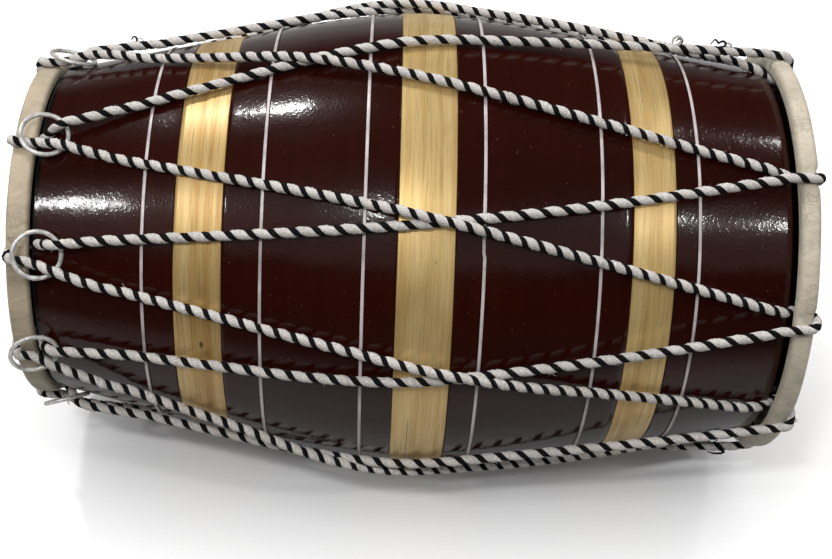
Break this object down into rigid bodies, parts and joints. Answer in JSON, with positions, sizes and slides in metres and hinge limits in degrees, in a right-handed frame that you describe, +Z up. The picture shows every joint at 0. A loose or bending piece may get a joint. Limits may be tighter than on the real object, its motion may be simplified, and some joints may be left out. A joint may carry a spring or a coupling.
{
  "type": "dholak drum",
  "caption": "Two-headed barrel drum laid on its side, rope-laced over skin collars, with sliding tuning rings and light wood bands.",
  "frame": {"origin": "middle of the drum's outline, on the floor that it lies on", "axes": "+X along the drum's axis from the treble head to the bass head, +Y away from the viewer, +Z up"},
  "size_m": [0.4424, 0.2854, 0.2809],
  "materials": {
    "shell_lacquer": "glossy dark maroon lacquer over turned wood",
    "band_wood": "clear varnished light wood",
    "stripe_paint": "thin raised off-white line",
    "head_skin": "cream goat skin, matt",
    "hoop_cane": "bare cane",
    "bass_paste": "dark tuning paste",
    "lacing_rope": "three-strand cotton, two off-white strands and one black",
    "ring_steel": "plain steel wire"
  },
  "bodies": {
    "drum": {"shell": "shell_lacquer", "treble_band": "band_wood", "middle_band": "band_wood", "bass_band": "band_wood", "stripe_1": "stripe_paint", "stripe_2": "stripe_paint", "stripe_3": "stripe_paint", "stripe_4": "stripe_paint", "stripe_5": "stripe_paint", "stripe_6": "stripe_paint", "treble_skin": "head_skin", "bass_skin": "head_skin", "treble_hoop": "hoop_cane", "bass_hoop": "hoop_cane", "bass_paste": "bass_paste", "lacing_1_down": "lacing_rope", "lacing_1_up": "lacing_rope", "lacing_2_down": "lacing_rope", "lacing_2_up": "lacing_rope", "lacing_3_down": "lacing_rope", "lacing_3_up": "lacing_rope", "lacing_4_down": "lacing_rope", "lacing_4_up": "lacing_rope", "lacing_5_down": "lacing_rope", "lacing_5_up": "lacing_rope", "lacing_6_down": "lacing_rope", "lacing_6_up": "lacing_rope", "lacing_7_down": "lacing_rope", "lacing_7_up": "lacing_rope", "lacing_8_down": "lacing_rope", "lacing_8_up": "lacing_rope", "lacing_9_down": "lacing_rope", "lacing_9_up": "lacing_rope", "lacing_knot": "lacing_rope"},
    "tuning_ring_1": {"tuning_ring_1": "ring_steel"},
    "tuning_ring_2": {"tuning_ring_2": "ring_steel"},
    "tuning_ring_3": {"tuning_ring_3": "ring_steel"},
    "tuning_ring_4": {"tuning_ring_4": "ring_steel"},
    "tuning_ring_5": {"tuning_ring_5": "ring_steel"},
    "tuning_ring_6": {"tuning_ring_6": "ring_steel"},
    "tuning_ring_7": {"tuning_ring_7": "ring_steel"},
    "tuning_ring_8": {"tuning_ring_8": "ring_steel"},
    "tuning_ring_9": {"tuning_ring_9": "ring_steel"}
  },
  "joints": [
    {"name": "tuning_ring_1_slide", "type": "slide", "parent": "drum", "child": "tuning_ring_1", "axis": [0.9738, 0.0778, 0.2136], "range_m": [0, 0.005]},
    {"name": "tuning_ring_2_slide", "type": "slide", "parent": "drum", "child": "tuning_ring_2", "axis": [0.9738, -0.0917, 0.2081], "range_m": [0, 0.005]},
    {"name": "tuning_ring_3_slide", "type": "slide", "parent": "drum", "child": "tuning_ring_3", "axis": [0.9738, -0.1988, 0.1103], "range_m": [0, 0.005]},
    {"name": "tuning_ring_4_slide", "type": "slide", "parent": "drum", "child": "tuning_ring_4", "axis": [0.9738, -0.2263, -0.0223], "range_m": [0, 0.005]},
    {"name": "tuning_ring_5_slide", "type": "slide", "parent": "drum", "child": "tuning_ring_5", "axis": [0.9738, -0.1461, -0.1742], "range_m": [0, 0.005]},
    {"name": "tuning_ring_6_slide", "type": "slide", "parent": "drum", "child": "tuning_ring_6", "axis": [0.9738, 0.0119, -0.2271], "range_m": [0, 0.005]},
    {"name": "tuning_ring_7_slide", "type": "slide", "parent": "drum", "child": "tuning_ring_7", "axis": [0.9738, 0.1522, -0.1689], "range_m": [0, 0.005]},
    {"name": "tuning_ring_8_slide", "type": "slide", "parent": "drum", "child": "tuning_ring_8", "axis": [0.9738, 0.2239, -0.0395], "range_m": [0, 0.005]},
    {"name": "tuning_ring_9_slide", "type": "slide", "parent": "drum", "child": "tuning_ring_9", "axis": [0.9738, 0.1969, 0.1137], "range_m": [0, 0.005]}
  ]
}
